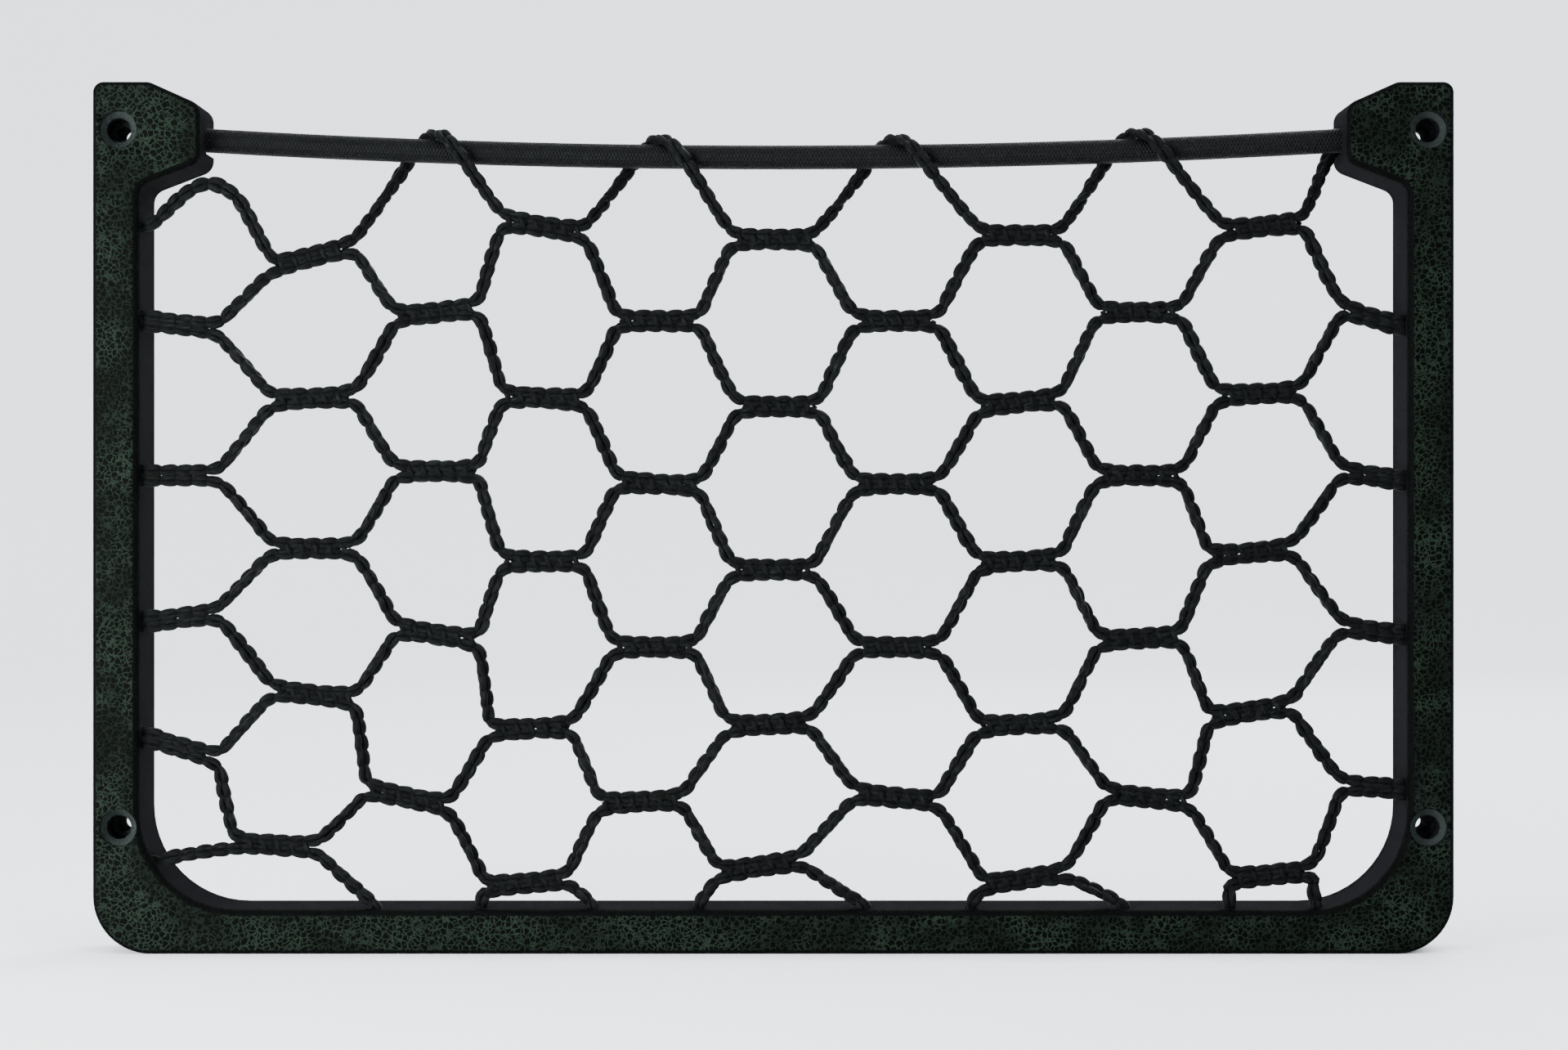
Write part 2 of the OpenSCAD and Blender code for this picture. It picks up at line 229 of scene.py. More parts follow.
def rings_along(path, radius, sides):
    """Rings of points round a path. radius is a number or one per point."""
    t = unit(np.gradient(path, axis=0))
    start = (0.0, 0.0, 1.0) if abs(t[0][2]) < STEEP else (1.0, 0.0, 0.0)
    n = carried(t, start)
    b = np.cross(t, n)
    a = np.linspace(0, 2 * math.pi, sides, endpoint=False)[None, :, None]
    r = np.broadcast_to(np.asarray(radius, float), (len(path),))[:, None, None]
    return path[:, None] + r * (n[:, None] * np.cos(a) + b[:, None] * np.sin(a))


def length_along(path):
    return np.concatenate([[0], np.cumsum(np.linalg.norm(np.diff(path, axis=0), axis=1))])


def mesh_of_rings(name, strips, material):
    """One object of several strips. A strip is its rings, an array [ring, side, xyz], and the length
    along the path at each ring, which with the turn round it becomes the UV map."""
    points, faces, uvs = [], [], []
    first = 0
    for rings, along in strips:
        count, sides = rings.shape[:2]
        index = first + np.arange(count * sides).reshape(count, sides)
        nxt = np.roll(index, -1, axis=1)
        quads = np.stack([index[:-1], nxt[:-1], nxt[1:], index[1:]], axis=-1).reshape(-1, 4)
        faces += quads.tolist()
        k = np.tile(np.arange(sides), count - 1) / sides
        low = np.repeat(along[:-1], sides)
        high = np.repeat(along[1:], sides)
        uv = np.stack([low, k, low, k + 1 / sides, high, k + 1 / sides, high, k], axis=-1)
        uvs.append(uv.reshape(-1, 2))
        for ring, at in ((index[0][::-1], along[0]), (index[-1], along[-1])):
            faces.append(ring.tolist())
            uvs.append(np.tile([at, 0.5], (sides, 1)))
        points.append(rings.reshape(-1, 3))
        first += count * sides
    mesh = bpy.data.meshes.new(name)
    mesh.from_pydata(placed(np.concatenate(points)).tolist(), [], faces)
    layer = mesh.uv_layers.new(name="along_and_round")
    layer.data.foreach_set("uv", np.concatenate(uvs).ravel())
    mesh.shade_smooth()
    mesh.materials.append(material)
    obj = bpy.data.objects.new(name, mesh)
    bpy.context.scene.collection.objects.link(obj)
    return obj


# ---------------------------------------------------------------- materials
def new_material(name):
    material = bpy.data.materials.new(name)
    material.use_nodes = True
    tree = material.node_tree
    return material, tree, tree.nodes["Principled BSDF"]


def node(tree, kind, values=(), **settings):
    """One shader node. values are (input name or number, value or output socket) pairs."""
    made = tree.nodes.new(kind)
    for key, value in settings.items():
        setattr(made, key, value)
    for key, value in values:
        if isinstance(value, bpy.types.NodeSocket):
            tree.links.new(value, made.inputs[key])
        else:
            made.inputs[key].default_value = value
    return made


def maths(tree, operation, a, b=0.0):
    return node(tree, "ShaderNodeMath", [(0, a), (1, b)], operation=operation).outputs[0]


def times(tree, *values):
    """The product of two or more values."""
    product = values[0]
    for value in values[1:]:
        product = maths(tree, "MULTIPLY", product, value)
    return product


def rest_of(tree, share):
    return maths(tree, "SUBTRACT", 1.0, share)


def ramp(tree, value, low, high, out_low=0.0, out_high=1.0):
    """value from low to high becomes out_low to out_high, smoothly and held at both ends."""
    made = node(tree, "ShaderNodeMapRange", [("Value", value), ("From Min", low), ("From Max", high),
                                             ("To Min", out_low), ("To Max", out_high)])
    made.interpolation_type = "SMOOTHSTEP"
    return made.outputs[0]


# Sockets of a mix node that take its factor and its two colours, and the one that gives the mix.
MIX_FACTOR, MIX_A, MIX_B = 0, 6, 7
MIX_RESULT = 2


def mixed(tree, factor, a, b):
    made = node(tree, "ShaderNodeMix", data_type="RGBA")
    for key, value in ((MIX_FACTOR, factor), (MIX_A, a), (MIX_B, b)):
        if isinstance(value, bpy.types.NodeSocket):
            tree.links.new(value, made.inputs[key])
        else:
            made.inputs[key].default_value = value
    return made.outputs[MIX_RESULT]


def noise_of(tree, vector, scale, detail=2.0, roughness=0.5):
    return node(tree, "ShaderNodeTexNoise", [("Vector", vector), ("Scale", scale), ("Detail", detail),
                                             ("Roughness", roughness)]).outputs[0]


def bump(tree, height, distance, strength, under=None):
    values = [("Height", height), ("Distance", distance), ("Strength", strength)]
    if under is not None:
        values.append(("Normal", under))
    return node(tree, "ShaderNodeBump", values).outputs[0]


def object_place(tree):
    return node(tree, "ShaderNodeTexCoord").outputs["Object"]


def split(tree, vector):
    """The three parts of a vector."""
    return node(tree, "ShaderNodeSeparateXYZ", [(0, vector)]).outputs


def edge_distance(tree, vector, cell):
    """Distance from the nearest border between grains of this size, in millimetres."""
    return node(tree, "ShaderNodeTexVoronoi", [("Vector", vector), ("Scale", PER_METRE / cell)],
                feature="DISTANCE_TO_EDGE").outputs["Distance"]


# Noise scales are per metre, so PER_METRE times waves per millimetre. Bump heights are in metres.
# Colours are linear red, green, blue and alpha.
PER_METRE = 1 / MM
GRAIN_CELL = 1.25          # size of the plastic's leather grain on the front, in millimetres
FINE_CELL = 0.55           # and on the sides
GRAIN_STIR = 0.0011        # how far noise moves the grain's borders
CLOUD_SCALE = 0.09         # worn patches, waves per millimetre
SPECK_SCALE = 4.5
# Two dents beside each upper screw, across and up, and their radius in metres.
SINK_MARKS = [(-148.9, 199.8), (-148.9, 189.1), (149.1, 197.7), (149.5, 188.1)]
SINK_MARK_R = 0.0011
CELL_DARK = (0.0002, 0.0004, 0.0002, 1)
CELL_PALE = (0.0008, 0.0012, 0.0008, 1)
VEIN = (0.0078, 0.0130, 0.0095, 1)
SIDE_DARK = (0.0018, 0.0021, 0.0024, 1)
SIDE_PALE = (0.0045, 0.0050, 0.0058, 1)
ROLLED_EDGE = (0.0008, 0.0011, 0.0010, 1)
# Colour of the screw seats: painted sheen, a lighter colour that stands in for the shine of their smooth
# floors.
SCREW_SEAT_PAINTED_SHEEN = (0.0140, 0.0180, 0.0170, 1)


def sink_marks(tree, place):
    """1 in the middle of each dent and 0 away from them. place is the three parts of a point."""
    dents = 0.0
    for across, up in SINK_MARKS:
        dx = maths(tree, "SUBTRACT", place[0], across * MM)
        dz = maths(tree, "SUBTRACT", place[2], up * MM + frame_low.z)
        away = maths(tree, "SQRT", maths(tree, "ADD", times(tree, dx, dx), times(tree, dz, dz)))
        dents = maths(tree, "ADD", dents, ramp(tree, away, 0.0, SINK_MARK_R, 1.0, 0.0))
    return dents


def frame_plastic():
    """Black moulded plastic: leather grain with paler veins on the front face, finer on the sides."""
    material, tree, shader = new_material("frame_plastic")
    place = object_place(tree)
    parts = split(tree, place)
    facing = split(tree, node(tree, "ShaderNodeNewGeometry").outputs["True Normal"])
    ahead = times(tree, facing[1], -1.0)

    # Where the surface is: the front face, the sides, or a screw's sunken seat.
    front_y = -frame_d * MM
    on_face = ramp(tree, parts[1], front_y + 0.0001, front_y + 0.0004, 1.0, 0.0)
    front = times(tree, ramp(tree, ahead, 0.93, 0.995), on_face)
    side = ramp(tree, maths(tree, "ABSOLUTE", ahead), 0.02, 0.30, 1.0, 0.0)
    seat_painted_sheen = times(tree, ramp(tree, ahead, 0.97, 0.999), rest_of(tree, on_face))

    # The grain, and the noise that stirs and wears it.
    swirl = node(tree, "ShaderNodeTexNoise", [("Vector", place), ("Scale", 1.1 * PER_METRE), ("Detail", 4.0)])
    shift = node(tree, "ShaderNodeVectorMath", [(0, swirl.outputs["Color"]), (1, (GRAIN_STIR,) * 3)],
                 operation="MULTIPLY").outputs[0]
    stirred = node(tree, "ShaderNodeVectorMath", [(0, place), (1, shift)], operation="ADD").outputs[0]
    coarse = edge_distance(tree, stirred, GRAIN_CELL)
    fine = edge_distance(tree, stirred, FINE_CELL)
    cloud = noise_of(tree, place, CLOUD_SCALE * PER_METRE, 3.0)
    speck = noise_of(tree, place, SPECK_SCALE * PER_METRE, 2.0)

    # Colour: pale worn veins on the front, near black elsewhere, and a lighter colour on the screw seats that
    # is painted sheen.
    worn = times(tree, ramp(tree, cloud, 0.35, 0.65, 0.35, 1.0), ramp(tree, speck, 0.35, 0.60, 0.35, 1.0))
    vein = times(tree, ramp(tree, coarse, 0.01, 0.16, 1.0, 0.0), front, worn)
    edges = mixed(tree, side, ROLLED_EDGE, mixed(tree, speck, SIDE_DARK, SIDE_PALE))
    # The screw seats get their painted sheen here.
    edges = mixed(tree, seat_painted_sheen, edges, SCREW_SEAT_PAINTED_SHEEN)
    cell = mixed(tree, speck, CELL_DARK, CELL_PALE)
    colour = mixed(tree, vein, mixed(tree, front, edges, cell), VEIN)
    tree.links.new(colour, shader.inputs["Base Color"])

    rough = maths(tree, "ADD", ramp(tree, speck, 0.3, 0.7, 0.45, 0.55), times(tree, side, 0.45))
    tree.links.new(rough, shader.inputs["Roughness"])

    # Relief, from the finest grain to the dents and specks.
    front_cells = times(tree, ramp(tree, coarse, 0.0, 0.22), front)
    side_cells = times(tree, ramp(tree, fine, 0.0, 0.2), rest_of(tree, front))
    relief = bump(tree, side_cells, 0.00008, 0.8)
    relief = bump(tree, front_cells, 0.00012, 0.75, relief)
    relief = bump(tree, times(tree, sink_marks(tree, parts), -1.0), 0.0003, 0.8, relief)
    relief = bump(tree, speck, 0.00002, 0.5, relief)
    tree.links.new(relief, shader.inputs["Normal"])
    shader.inputs["Specular IOR Level"].default_value = 0.01
    return material


# The yarn's near-black, and the paler colour of the painted highlight on its fibres.
YARN_DARK = (0.0007, 0.0009, 0.0009, 1)
YARN_PAINTED_HIGHLIGHT = (0.0070, 0.0098, 0.0094, 1)
YARN_FUZZ = 0.008
STRANDS_ROUND = 11.0
STRAND_TWIST = 0.08        # turns per millimetre
STRAND_WAVES = 0.35        # unevenness along a strand, waves per millimetre


def yarn():
    """Textured filament yarn: fine strands that run along it with a slight twist."""
    material, tree, shader = new_material("net_yarn")
    run = split(tree, node(tree, "ShaderNodeUVMap", uv_map="along_and_round").outputs[0])
    twisted = maths(tree, "ADD", run[1], times(tree, run[0], STRAND_TWIST))
    strand = node(tree, "ShaderNodeCombineXYZ", [(0, times(tree, run[0], STRAND_WAVES)),
                                                 (1, times(tree, twisted, STRANDS_ROUND))]).outputs[0]
    fibre = noise_of(tree, strand, 1.0, 4.0, 0.65)
    patch = noise_of(tree, object_place(tree), 0.16 * PER_METRE, 2.0)
    # Painted highlight: paler streaks along the fibres stand in for their sheen, stronger in random patches.
    painted_highlight = times(tree, ramp(tree, fibre, 0.50, 0.72), ramp(tree, patch, 0.30, 0.70, 0.35, 1.0))
    tree.links.new(mixed(tree, painted_highlight, YARN_DARK, YARN_PAINTED_HIGHLIGHT), shader.inputs["Base Color"])
    tree.links.new(ramp(tree, fibre, 0.35, 0.65, 0.62, 0.42), shader.inputs["Roughness"])
    tree.links.new(bump(tree, fibre, 0.00045, 1.0), shader.inputs["Normal"])
    shader.inputs["Sheen Weight"].default_value = YARN_FUZZ
    shader.inputs["Sheen Roughness"].default_value = 0.4
    shader.inputs["Sheen Tint"].default_value = (0.60, 0.80, 0.80, 1)
    shader.inputs["Specular IOR Level"].default_value = 0.04
    return material


BRAID_PITCH = 0.40
BRAID_ROUND = 22
# The braid's near-black, and the paler colour of the painted highlight on its ribs' crests.
BRAID_DARK = (0.0006, 0.0008, 0.0008, 1)
BRAID_PAINTED_HIGHLIGHT = (0.0022, 0.0030, 0.0030, 1)


def braided_sheath():
    """Fine two-way braid of the elastic cord's cover."""
    material, tree, shader = new_material("elastic_cord")
    run = split(tree, node(tree, "ShaderNodeUVMap", uv_map="along_and_round").outputs[0])
    along = times(tree, run[0], 1 / (2 * BRAID_PITCH))
    around = times(tree, run[1], BRAID_ROUND)
    ribs = []
    for sign in (-1.0, 1.0):
        turn = maths(tree, "ADD", along, times(tree, around, 0.5 * sign))
        ribs.append(maths(tree, "SINE", times(tree, turn, 2 * math.pi)))
    pick = maths(tree, "GREATER_THAN", maths(tree, "SINE", times(tree, around, 2 * math.pi)), 0.0)
    weave = maths(tree, "ADD", times(tree, ribs[0], pick), times(tree, ribs[1], rest_of(tree, pick)))
    patch = noise_of(tree, object_place(tree), 0.5 * PER_METRE, 3.0)
    # Painted highlight: the crests of the braid's ribs are painted paler, more so in random patches.
    painted_highlight = times(tree, ramp(tree, weave, 0.2, 1.0), ramp(tree, patch, 0.3, 0.7, 0.5, 1.0))
    tree.links.new(mixed(tree, painted_highlight, BRAID_DARK, BRAID_PAINTED_HIGHLIGHT), shader.inputs["Base Color"])
    shader.inputs["Roughness"].default_value = 0.55
    shader.inputs["Specular IOR Level"].default_value = 0.05
    shader.inputs["Sheen Weight"].default_value = 0.005
    shader.inputs["Sheen Roughness"].default_value = 0.4
    tree.links.new(bump(tree, weave, 0.00010, 0.9), shader.inputs["Normal"])
    return material


ZINC_DULL = (0.50, 0.52, 0.54, 1)
ZINC_CLEAN = (0.70, 0.71, 0.73, 1)


def crimped_metal():
    """Zinc-plated steel of the ferrules, with faint turning marks."""
    material, tree, shader = new_material("ferrule_metal")
    place = object_place(tree)
    lines = node(tree, "ShaderNodeTexWave", [("Vector", place), ("Scale", 1.2 * PER_METRE),
                                             ("Distortion", 1.5)], bands_direction="X").outputs["Fac"]
    dull = noise_of(tree, place, 0.7 * PER_METRE, 3.0)
    tree.links.new(mixed(tree, dull, ZINC_DULL, ZINC_CLEAN), shader.inputs["Base Color"])
    shader.inputs["Metallic"].default_value = 1.0
    tree.links.new(ramp(tree, dull, 0.3, 0.7, 0.28, 0.45), shader.inputs["Roughness"])
    tree.links.new(bump(tree, lines, 0.00003, 0.4), shader.inputs["Normal"])
    return material


# ---------------------------------------------------------------- frame
# Rolled front edges: how far the outline's outer and inner edges roll in, and as far down.
OUTER_ROLL = 1.3
INNER_ROLL = 2.0
ROLL_STEPS = 6
CLEAR = 0.02               # the cutting body stands this far off the frame
BELOW_WALL = -1.0          # and starts this far behind it
ARC_STEPS = 14
WELD_REACH = 2e-6          # in metres
SHARP_ANGLE = 28           # in degrees

# Corners of the outline, each with its radius, anticlockwise from the lower right.
right_side = [
    (side_x, 0, outer_r),
    (side_x, frame_h, top_r),
    (side_x - nose_flat, frame_h, nose_r),
    (nose_x, nose_top, nose_r),
    (nose_x, nose_low, nose_r),
    (open_x, nose_low - nose_under, nose_r),
    (open_x, rail_h, inner_r),
]
outline = right_side + [(-x, up, r) for x, up, r in reversed(right_side)]
# Whether the edge after each corner is on the outside or faces the net.
outer_edge = [True] * 4 + [False] * 5 + [True] * 5


def offset_outline(outer_in, inner_in):
    """The rounded outline moved inwards, by one distance on its outer edges and another on its inner ones."""
    corners = np.array([c[:2] for c in outline])
    ways = unit(np.roll(corners, -1, axis=0) - corners)
    left = np.stack([-ways[:, 1], ways[:, 0]], axis=1)
    moves = [outer_in if outer else inner_in for outer in outer_edge]
    points = []
    for i, (x, up, r) in enumerate(outline):
        before, after = left[i - 1], left[i]
        shift = np.linalg.solve(np.array([before, after]), np.array([moves[i - 1], moves[i]]))
        convex = ways[i - 1][0] * ways[i][1] - ways[i - 1][1] * ways[i][0] > 0
        half_turn = math.acos(np.clip(ways[i - 1].dot(ways[i]), -1, 1)) / 2
        mean = (moves[i - 1] + moves[i]) / 2
        radius = r - mean if convex else r + mean
        side = 1 if convex else -1
        corner = corners[i] + shift
        start = corner - radius * math.tan(half_turn) * ways[i - 1]
        centre = start + side * radius * before
        first = start - centre
        for k in range(ARC_STEPS + 1):
            a = side * 2 * half_turn * k / ARC_STEPS
            points.append(centre + [first[0] * math.cos(a) - first[1] * math.sin(a),
                                    first[0] * math.sin(a) + first[1] * math.cos(a)])
    return np.array(points)


def rolled_envelope():
    """A closed body just outside the frame, whose front edges are rolled."""
    # How much of the outer roll each point of the outline has: all, none, or part where the two meet.
    outer_edges = [outer_edge[i - 1] + outer_edge[i] for i in range(len(outline))]
    share = np.repeat(np.array(outer_edges) / 2, ARC_STEPS + 1)
    for i in range(len(outline)):
        if outer_edges[i] == 1:
            growing = np.linspace(0, 1, ARC_STEPS + 1)
            at = slice(i * (ARC_STEPS + 1), (i + 1) * (ARC_STEPS + 1))
            share[at] = growing if outer_edge[i] else 1 - growing
    foot = offset_outline(-CLEAR, -CLEAR)
    points = [np.column_stack([foot, np.full(len(foot), BELOW_WALL)])]
    for k in range(ROLL_STEPS + 1):
        a = math.pi / 2 * k / ROLL_STEPS
        rolled_in = 1 - math.cos(a)
        ring = offset_outline(OUTER_ROLL * rolled_in - CLEAR, INNER_ROLL * rolled_in - CLEAR)
        down = (share * OUTER_ROLL + (1 - share) * INNER_ROLL) * (1 - math.sin(a))
        points.append(np.column_stack([ring, frame_d + CLEAR - down]))
    count = len(points[0])
    faces = []
    for n in range(len(points) - 1):
        for k in range(count):
            a, b = n * count + k, n * count + (k + 1) % count
            faces.append((a, b, b + count, a + count))
    faces.append(tuple(range(count - 1, -1, -1)))
    faces.append(tuple(range((len(points) - 1) * count, len(points) * count)))
    mesh = bpy.data.meshes.new("envelope")
    mesh.from_pydata(placed(np.concatenate(points)).tolist(), [], faces)
    made = bpy.data.objects.new("envelope", mesh)
    bpy.context.scene.collection.objects.link(made)
    return made


def applied(obj):
    """Puts the object's modifiers into its mesh, and gives the mesh."""
    bpy.context.view_layer.update()
    shaped = obj.evaluated_get(bpy.context.evaluated_depsgraph_get())
    mesh = bpy.data.meshes.new_from_object(shaped)
    obj.modifiers.clear()
    obj.data = mesh
    return mesh


def frame_piece(material):
    """The CAD frame with its front edges rolled."""
    piece = bpy.data.objects.new("moulded_frame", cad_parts["frame"].data.copy())
    bpy.context.scene.collection.objects.link(piece)
    weld = piece.modifiers.new("weld", "WELD")
    weld.merge_threshold = WELD_REACH
    applied(piece)
    envelope = rolled_envelope()
    cut = piece.modifiers.new("rolled_edges", "BOOLEAN")
    cut.operation = "INTERSECT"
    cut.solver = "EXACT"
    cut.object = envelope
    mesh = applied(piece)
    bpy.data.objects.remove(envelope)
    mesh.materials.clear()
    mesh.materials.append(material)
    mesh.polygons.foreach_set("material_index", [0] * len(mesh.polygons))
    mesh.shade_smooth()
    mesh.set_sharp_from_angle(angle=math.radians(SHARP_ANGLE))
    flat = piece.modifiers.new("even_normals", "WEIGHTED_NORMAL")
    flat.weight = 100
    flat.keep_sharp = True
    return piece


moulding = frame_piece(frame_plastic())
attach(moulding, "frame_body")
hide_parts("frame")


def bows(piece, side, *nodes):
    """A half of the elastic net: hides the CAD parts it replaces and bakes its placement into its mesh."""
    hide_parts(*nodes)
    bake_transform(piece)


# ---------------------------------------------------------------- elastic cord
sheath = braided_sheath()
BUNGEE_RING = 0.4          # distance between its rings
BUNGEE_SIDES = 40
BRAID_RIB = 0.035
TIP_MARGIN = 0.01          # keeps the last ring, at the cord's tip, from being lost to rounding


def bungee_half(side):
    """Half of the braided elastic cord, from the middle to its cut end inside the nose."""
    x = np.arange(0, bungee_tip + TIP_MARGIN, BUNGEE_RING)
    path = np.column_stack([side * x, [bungee_up(v) for v in x], np.full(len(x), bungee_out)])
    name = "left" if side < 0 else "right"
    rings = rings_along(path, bungee_d / 2, BUNGEE_SIDES)
    turns = np.arange(BUNGEE_SIDES) * 2 * math.pi * (BRAID_ROUND / 2) / BUNGEE_SIDES
    ribs = BRAID_RIB * np.sin(turns)[None, :] * np.cos(x * math.pi / (4 * BRAID_PITCH))[:, None]
    centre = path[:, None]
    rings = centre + (rings - centre) * (1 + ribs[:, :, None] / (bungee_d / 2))
    return mesh_of_rings("elastic_cord_" + name, [(rings, length_along(path))], sheath)


for side, name in ((-1, "left"), (1, "right")):
    piece = bungee_half(side)
    bows(piece, side, "bungee_cord", "bungee_end_" + name)

metal = crimped_metal()
for name in ("ferrule_left", "ferrule_right"):
    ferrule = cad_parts[name]
    ferrule.data.materials.clear()
    ferrule.data.materials.append(metal)

# ---------------------------------------------------------------- net
net_yarn = yarn()
rng = np.random.default_rng(7)
FRONT = (0.0, 0.0, 1.0)
BACK = (0.0, 0.0, -1.0)
STITCH = 3.65              # length of one chain stitch
STITCH_POINTS = 24
YARN_SIDES = 7
CORNER_REACH = 1.6         # how much of each leg a corner's rounding takes
CORNER_PASSES = 3
# One chain stitch: up through the last loop, along one leg, round the tip, back along the other leg
# and on along the back. Each point is along in stitches, sideways in half widths, forward in depths,
# and its yarn's share of the full radius.
CHAIN_STITCH = [
    (0.02, -0.25, -0.9, 0.80),
    (0.50, -1.00, 1.0, 1.06),
    (1.06, -1.14, 0.5, 1.10),
    (1.34, 0.00, -0.5, 0.85),
    (1.06, 1.14, 0.5, 1.10),
    (0.50, 1.00, 1.0, 1.06),
    (0.02, 0.25, -0.9, 0.80),
    (0.50, 0.00, -1.6, 0.90),
]
LOOSE_W, TIGHT_W = 0.80, 0.62      # half distance between a chain's two legs, single and in a bar
LOOSE_R, TIGHT_R = 0.84, 0.72      # radius of its yarn
LOOSE_DEPTH, TIGHT_DEPTH = 0.48, 0.40
# Chance: how much stitches shift along, vary in width and vary in yarn radius, as shares of each.
SHIFT_CHANCE = 0.09
WIDTH_CHANCE = (0.88, 1.12)
RADIUS_CHANCE = (0.91, 1.08)
TWIST_DEGREES = (25, 60)
SLACK_AT = (0.28, 0.5, 0.72)       # shares of a free stretch where it is slack and twisted


def row(point, tight=1.0, normal=FRONT):
    """A point of a cord's route, how tight the chain is there and which way its front faces."""
    return (*point, tight, *normal)


def loosened(start, end):
    """The free stretch between two bars: slack in its middle, and twisted by some chance angle."""
    a, b = np.array(start), np.array(end)
    way = unit(b - a)
    angle = math.radians(rng.uniform(*TWIST_DEGREES) * rng.choice([-1, 1]))
    across = np.cross(way, FRONT)
    normal = tuple(math.cos(angle) * np.array(FRONT) + math.sin(angle) * across)
    return [row(a + f * (b - a), 0.0, normal) for f in SLACK_AT]


def bar_rows(w, j):
    return [row(bar_end(w, j, -1)), row(bar_end(w, j, 1))]


def smoothed(rows, passes):
    """Corners cut off again and again, ends kept."""
    r = np.array(rows, float)
    for _ in range(passes):
        low = 0.75 * r[:-1] + 0.25 * r[1:]
        high = 0.25 * r[:-1] + 0.75 * r[1:]
        inner = np.stack([low, high], axis=1).reshape(-1, r.shape[1])[1:-1]
        r = np.concatenate([r[:1], inner, r[-1:]])
    return r


MOST_OF_LEG = 0.45


def cut_corners(rows, reach):
    """Two rows in place of each inner one, so that later smoothing rounds only the last bit of a leg."""
    r = [np.array(v, float) for v in rows]
    made = [r[0]]
    for before, here, after in zip(r, r[1:], r[2:]):
        for other in (before, after):
            length = np.linalg.norm(other[:3] - here[:3])
            made.append(here + (other - here) * min(reach / length, MOST_OF_LEG))
    made.append(r[-1])
    return made


def spline(points, samples):
    """A smooth curve through points, ends kept, with samples steps from each to the next."""
    p = np.concatenate([[2 * points[0] - points[1]], points, [2 * points[-1] - points[-2]]])
    f = (np.arange(samples) / samples)[None, :, None]
    p0, p1, p2, p3 = (p[k:len(p) - 3 + k][:, None] for k in range(4))
    curve = 0.5 * (2 * p1 + (p2 - p0) * f + (2 * p0 - 5 * p1 + 4 * p2 - p3) * f ** 2
                   + (3 * p1 - p0 - 3 * p2 + p3) * f ** 3)
    return np.concatenate([curve.reshape(-1, p.shape[1]), points[-1:]])


def stitches(count):
    """Keys of count chain stitches in a row, each a little different, with each key's stitch number."""
    per_stitch = len(CHAIN_STITCH)
    keys = np.tile(CHAIN_STITCH, (count, 1))
    number = np.repeat(np.arange(count), per_stitch)
    keys[:, 0] += number + np.repeat(rng.uniform(-SHIFT_CHANCE, SHIFT_CHANCE, count), per_stitch)
    keys[:, 1] *= np.repeat(rng.uniform(*WIDTH_CHANCE, count), per_stitch)
    keys[:, 3] *= rng.uniform(*RADIUS_CHANCE, count * per_stitch)
    return np.column_stack([keys, number])


def chain(rows, slim=1.0, reach=CORNER_REACH):
    """The yarn of a chain-stitched cord that follows these rows: its path, its radius, and how far
    across the cord's own middle is at each of its stitches."""
    r = smoothed(cut_corners(rows, reach), CORNER_PASSES)
    s = length_along(r[:, :3])
    count = max(2, round(s[-1] / STITCH))
    pitch = s[-1] / count
    curve = spline(stitches(count), STITCH_POINTS // len(CHAIN_STITCH))
    at = np.clip(curve[:, 0] * pitch, 0, s[-1])
    way = unit(np.gradient(r[:, :3], axis=0))

    def along(values):
        return np.stack([np.interp(at, s, values[:, k]) for k in range(values.shape[1])], axis=1)

    centre = along(r[:, :3])
    tangent = unit(along(way))
    tight = along(r[:, 3:4])[:, 0]
    normal = along(r[:, 4:7])
    normal = unit(normal - np.sum(normal * tangent, axis=1)[:, None] * tangent)
    side = np.cross(tangent, normal)
    half = slim * (LOOSE_W + (TIGHT_W - LOOSE_W) * tight)
    depth = slim * (LOOSE_DEPTH + (TIGHT_DEPTH - LOOSE_DEPTH) * tight)
    radius = slim * curve[:, 3] * (LOOSE_R + (TIGHT_R - LOOSE_R) * tight)
    path = centre + (half * curve[:, 1])[:, None] * side + (depth * curve[:, 2])[:, None] * normal
    base_x = np.interp(curve[:, 4] * pitch, s, r[:, 0])
    return path, radius, base_x


def yarn_strip(path, radius, sides=YARN_SIDES):
    return rings_along(path, radius, sides), length_along(path)


LACE_TURN_POINTS = 14
LACE_R = 0.66
LACE_OUT = 0.85            # how far it stands out in front of the bar's middle, and behind
LACE_SPAN = bar_len - 2.0


def lacing(j, b):
    """The yarn that crosses between a bar's two cords and holds them together."""
    turns = bar_len / STITCH
    part = np.linspace(-0.5, 0.5, round(turns * LACE_TURN_POINTS))
    a = 2 * math.pi * turns * part + rng.uniform(0, 2 * math.pi)
    x = column_x(j) + at_bar(slide, j, b) + LACE_SPAN * part
    up = bar_up(j, b) + at_bar(tilt, j, b) * part + pair_gap / 2 * np.cos(a)
    path = np.column_stack([x, up, net_out + LACE_OUT * np.sin(a)])
    return path, np.full(len(a), LACE_R), x


ARCH = [(10.5, 8.3), (16.5, 10.8), (23.0, 7.0)]    # points of the loose strand at the upper left
WRAP_R = 4.2               # radius of a turn round the elastic cord
WRAP_LEAD = 7.0            # how far a turn moves to the right in 120 degrees
WRAP_FROM, WRAP_TO, WRAP_STEP = 210, -30, -20
TAIL_DROP = 2.0            # the cord's last stretch goes into the nose this far below the elastic cord


